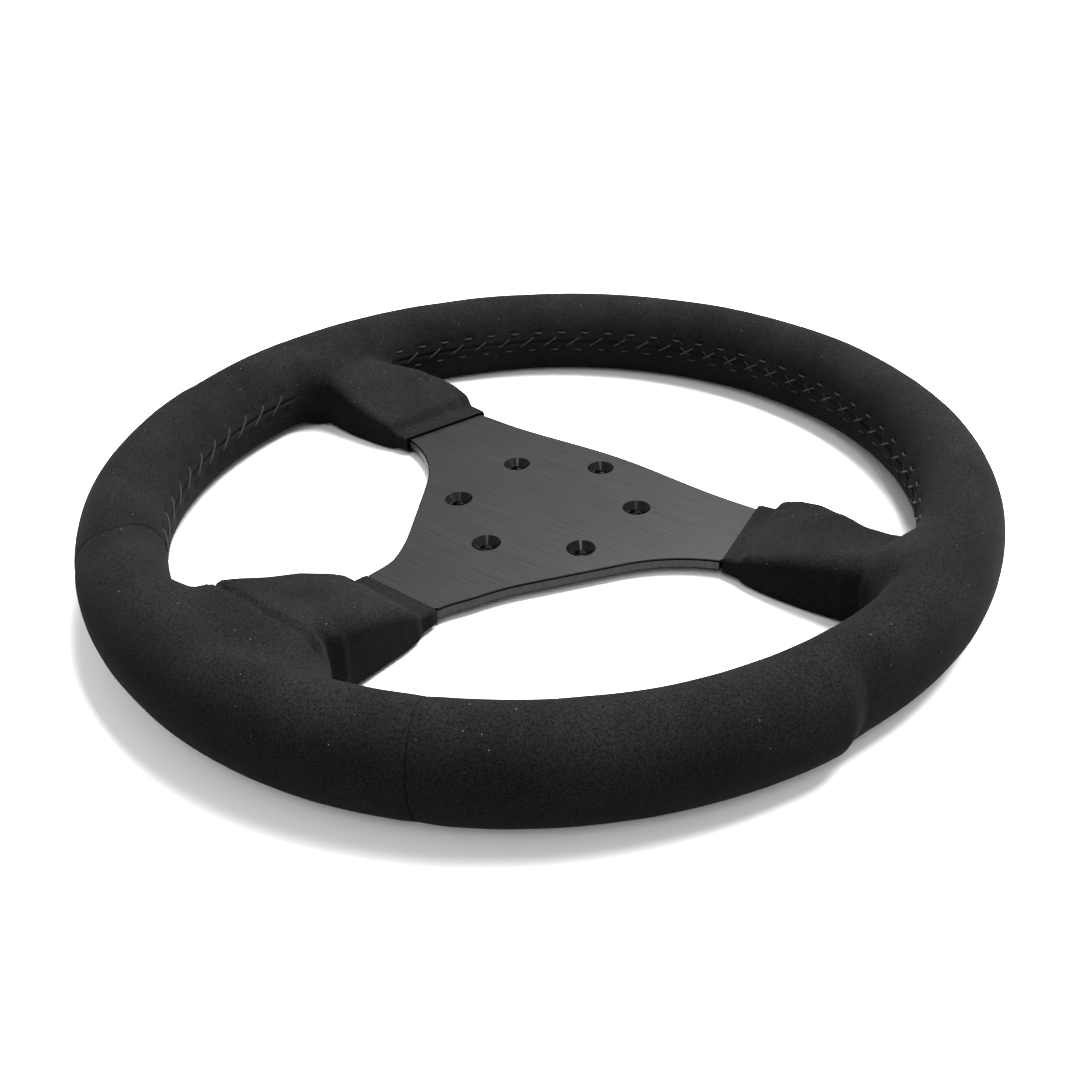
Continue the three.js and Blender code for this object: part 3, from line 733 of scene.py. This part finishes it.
def plate_material():
    """Black anodised aluminium: a face brushed sideways, rounded edges made near black as painted shade, and
    smooth countersinks.
    """
    m = Nodes("brushed_anodised")
    long_grain = m.noise(0.5, 3, 0.65, (60, 1, 1))
    hair = m.noise(0.16, 2, 0.6, (90, 1, 1))
    cloud = m.ramp(m.noise(45, 2), [(0.3, 0.92), (0.7, 1.06)])
    long_tone = m.ramp(long_grain, [(0.3, 0.8), (0.7, 1.18)])
    hair_tone = m.ramp(hair, [(0.3, 0.84), (0.7, 1.15)])
    streaks = m.mix("MULTIPLY", 1.0, long_tone, hair_tone)
    face_tone = m.mix("MULTIPLY", 1.0, m.mix("MULTIPLY", 1.0, streaks, cloud), PLATE_TONE)

    normal = m.add("ShaderNodeNewGeometry").outputs["True Normal"]
    tilt = m.add("ShaderNodeSeparateXYZ", {"Vector": normal}).outputs["Z"]
    level = m.add("ShaderNodeMath", {0: tilt}, operation="ABSOLUTE").outputs[0]
    is_face = m.add("ShaderNodeMath", {0: level, 1: FACE_TILT}, operation="GREATER_THAN").outputs[0]
    is_side = m.add("ShaderNodeMath", {0: level, 1: SIDE_TILT}, operation="LESS_THAN").outputs[0]
    flat = m.add("ShaderNodeVectorMath", {0: m.place, 1: (1, 1, 0)}, operation="MULTIPLY").outputs[0]
    reach = m.add("ShaderNodeVectorMath", {0: flat}, operation="LENGTH").outputs["Value"]
    is_hole = m.add("ShaderNodeMath", {0: reach, 1: HOLE_ZONE * MM}, operation="LESS_THAN").outputs[0]

    side_tone = m.ramp(m.noise(0.4, 3, 0.6, (1, 1, 8)), [(0.3, 0.016), (0.7, 0.026)])
    # Painted shade: the rounded edges between face and side get a near-black base colour that stands in for
    # the dark they reflect; the side keeps its own tone.
    painted_shade_edge_tone = m.mix("MIX", is_side, 0.0015, side_tone)
    hole_tone = m.ramp(m.noise(0.5, 2), [(0.3, 0.014), (0.7, 0.02)])
    rough = m.ramp(long_grain, [(0.3, 0.42), (0.7, 0.52)])
    machined_tone = m.mix("MIX", is_hole, painted_shade_edge_tone, hole_tone)
    machined_rough = m.mix("MIX", is_hole, 0.4, 0.2)
    m.set(Base_Color=m.mix("MIX", is_face, machined_tone, face_tone))
    m.set(Roughness=m.mix("MIX", is_face, machined_rough, rough))
    m.set(Metallic=m.ramp(is_face, [(0, 1.0), (1, 0.8)]))
    scratches = m.mix("MIX", 0.5, long_grain, hair)
    m.set(Normal=m.bump(m.mix("MULTIPLY", 1.0, scratches, is_face), 0.02, 0.5))
    return m.material


def hidden_material(name, grey, roughness, metallic):
    """For the tube, straps, rivets and foam inside the cover."""
    m = Nodes(name)
    colour = m.ramp(m.noise(6, 3, 0.6), [(0.3, grey * 0.85), (0.7, grey * 1.15)])
    rough = m.ramp(m.noise(3, 2), [(0.3, roughness * 0.85), (0.7, min(roughness * 1.15, 1))])
    m.set(Base_Color=colour, Roughness=rough)
    m.set(Metallic=metallic, Normal=m.bump(m.noise(1.0, 3), 0.05, 0.4))
    return m.material


suede = suede_material()
for cover in (upper_cover, bottom_cover):
    cover.data.materials.append(suede)
thread_look = thread_material()
for thread in threads:
    thread.data.materials.append(thread_look)


def repaint(node, material):
    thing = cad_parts[node]
    for slot in thing.material_slots:
        slot.material = material


steel = hidden_material("drawn_steel", 0.5, 0.45, 1.0)
rivet_metal = hidden_material("rivet_aluminium", 0.65, 0.4, 1.0)
foam = hidden_material("moulded_foam", 0.03, 0.9, 0.0)
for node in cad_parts:
    if node.startswith(("spoke_tab", "rim_core")):
        repaint(node, steel)
    elif node.startswith("rivet"):
        repaint(node, rivet_metal)
repaint("foam_core", foam)
repaint("spoke_plate", plate_material())

# ---------------------------------------------------------------- floor, light and camera
CAMERA_AZIMUTH, CAMERA_ELEVATION, CAMERA_ROLL = 37.70, 36.28, -1.10
CAMERA_DISTANCE = 328.5
CAMERA_TARGET = Vector((53.6, -40.1, 4))
LENS, SENSOR = 32.59, 36.0
SHIFT = (-0.0501, 0.0553)
FLOOR_RADIUS, FLOOR_SIDES = 640, 96
FLOOR_BOUNCE = 0.25  # the floor's albedo for the light it throws up
FILL, BACKDROP = 0.75, 1.1  # the world's strength as light, and as seen


def floor_material():
    """White to look at, and dimmer as what lights the object's sides."""
    m = Nodes("studio_white")
    diffuse = m.add("ShaderNodeLightPath").outputs["Is Diffuse Ray"]
    seen = m.ramp(m.noise(400, 1), [(0, 0.9), (1, 0.91)])
    m.set(Base_Color=m.mix("MIX", diffuse, seen, FLOOR_BOUNCE), Roughness=0.9)
    m.shader.inputs["Specular IOR Level"].default_value = 0.1
    return m.material


def studio_floor():
    turns = [2 * math.pi * i / FLOOR_SIDES for i in range(FLOOR_SIDES)]
    corners = [(FLOOR_RADIUS * math.cos(turn), FLOOR_RADIUS * math.sin(turn), FLOOR) for turn in turns]
    floor = mesh_object("studio_floor", corners, [range(FLOOR_SIDES)])
    floor.data.materials.append(floor_material())


def softbox(name, place, target, size, power):
    light = bpy.data.lights.new(name, "AREA")
    light.shape = "RECTANGLE"
    light.size, light.size_y = (side * MM for side in size)
    light.energy = power
    lamp = bpy.data.objects.new(name, light)
    lamp.location = Vector(place) * MM
    lamp.rotation_mode = "QUATERNION"
    lamp.rotation_quaternion = (Vector(place) - Vector(target)).to_track_quat("Z", "Y")
    bpy.context.scene.collection.objects.link(lamp)


def studio_world():
    """White behind the object, and a dimmer fill for what lights it."""
    world = bpy.data.worlds.new("studio")
    world.use_nodes = True
    tree = world.node_tree
    background = tree.nodes["Background"]
    background.inputs["Color"].default_value = (1, 1, 1, 1)
    background.inputs["Strength"].default_value = FILL
    seen = tree.nodes.new("ShaderNodeBackground")
    seen.inputs["Color"].default_value = (1, 1, 1, 1)
    seen.inputs["Strength"].default_value = BACKDROP
    path = tree.nodes.new("ShaderNodeLightPath")
    choose = tree.nodes.new("ShaderNodeMixShader")
    tree.links.new(path.outputs["Is Camera Ray"], choose.inputs["Fac"])
    tree.links.new(background.outputs[0], choose.inputs[1])
    tree.links.new(seen.outputs[0], choose.inputs[2])
    tree.links.new(choose.outputs[0], tree.nodes["World Output"].inputs["Surface"])
    bpy.context.scene.world = world


def studio_camera():
    azimuth, elevation, roll = (math.radians(a) for a in (CAMERA_AZIMUTH, CAMERA_ELEVATION, CAMERA_ROLL))
    level = math.cos(elevation)
    back = Vector((math.sin(azimuth) * level, -math.cos(azimuth) * level, math.sin(elevation)))
    across = Vector((0, 0, 1)).cross(back).normalized()
    above = back.cross(across)
    right = across * math.cos(roll) + above * math.sin(roll)
    up = above * math.cos(roll) - across * math.sin(roll)
    data = bpy.data.cameras.new("camera")
    data.lens, data.sensor_width = LENS, SENSOR
    data.shift_x, data.shift_y = SHIFT
    data.clip_start = 0.01
    camera = bpy.data.objects.new("camera", data)
    place = Matrix((right, up, back)).transposed().to_4x4()
    place.translation = (CAMERA_TARGET + back * CAMERA_DISTANCE) * MM
    camera.matrix_world = place
    bpy.context.scene.collection.objects.link(camera)
    bpy.context.scene.camera = camera


studio_floor()
studio_world()
studio_camera()
softbox("key_from_above", (100, 400, 960), (0, 0, 0), (760, 560), 46)
softbox("strip", (760, -980, 1580), (0, 0, 0), (150, 900), 8)
bpy.context.scene.view_settings.view_transform = "Standard"
bpy.context.scene.view_settings.look = "None"
